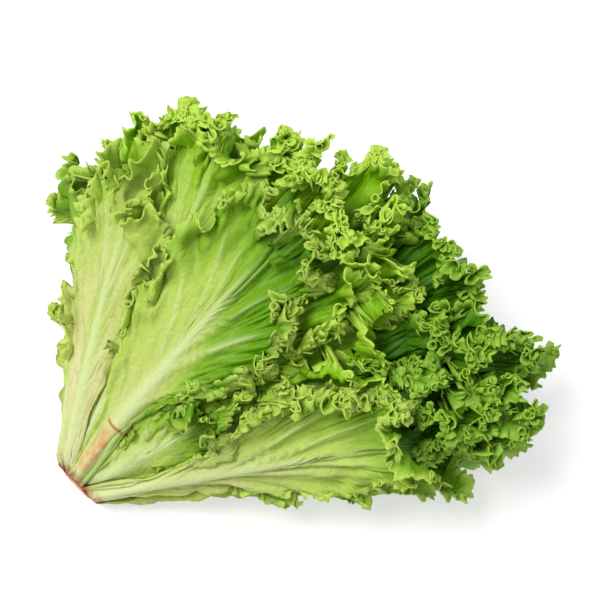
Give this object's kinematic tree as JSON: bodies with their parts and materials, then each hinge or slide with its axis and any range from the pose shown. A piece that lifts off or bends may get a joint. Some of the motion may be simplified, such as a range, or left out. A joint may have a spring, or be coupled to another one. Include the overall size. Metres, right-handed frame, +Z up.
{
  "type": "lollo bionda lettuce",
  "caption": "Loose head of pale green lettuce with tightly frilled leaf ends, cut at the stem and lying on its side.",
  "frame": {"origin": "on the surface that the head lies on, under the middle of the head", "axes": "+X from the cut of the stem towards the frilled crown, +Y across the head, +Z up"},
  "size_m": [0.2114, 0.2422, 0.1138],
  "materials": {
    "stem": "moist cut flesh, brown at the rim",
    "outer_leaf": "satin leaf, pale at the rib",
    "middle_leaf": "satin leaf, frilled",
    "heart_leaf": "satin leaf, pale and frilled"
  },
  "bodies": {
    "root": {"stem": "stem", "outer_leaf_1": "outer_leaf", "outer_leaf_2": "outer_leaf", "outer_leaf_3": "outer_leaf", "outer_leaf_4": "outer_leaf", "outer_leaf_5": "outer_leaf", "outer_leaf_6": "outer_leaf", "outer_leaf_7": "outer_leaf", "outer_leaf_8": "outer_leaf", "outer_leaf_9": "outer_leaf", "middle_leaf_1": "middle_leaf", "middle_leaf_2": "middle_leaf", "middle_leaf_3": "middle_leaf", "middle_leaf_4": "middle_leaf", "middle_leaf_5": "middle_leaf", "middle_leaf_6": "middle_leaf", "middle_leaf_7": "middle_leaf", "middle_leaf_8": "middle_leaf", "middle_leaf_9": "middle_leaf", "middle_leaf_10": "middle_leaf", "middle_leaf_11": "middle_leaf", "middle_leaf_12": "middle_leaf", "middle_leaf_13": "middle_leaf", "middle_leaf_14": "middle_leaf", "heart_leaf_1": "heart_leaf", "heart_leaf_2": "heart_leaf", "heart_leaf_3": "heart_leaf", "heart_leaf_4": "heart_leaf", "heart_leaf_5": "heart_leaf", "heart_leaf_6": "heart_leaf", "heart_leaf_7": "heart_leaf", "heart_leaf_8": "heart_leaf", "heart_leaf_9": "heart_leaf", "heart_leaf_10": "heart_leaf", "heart_leaf_11": "heart_leaf", "heart_leaf_12": "heart_leaf"}
  },
  "joints": []
}
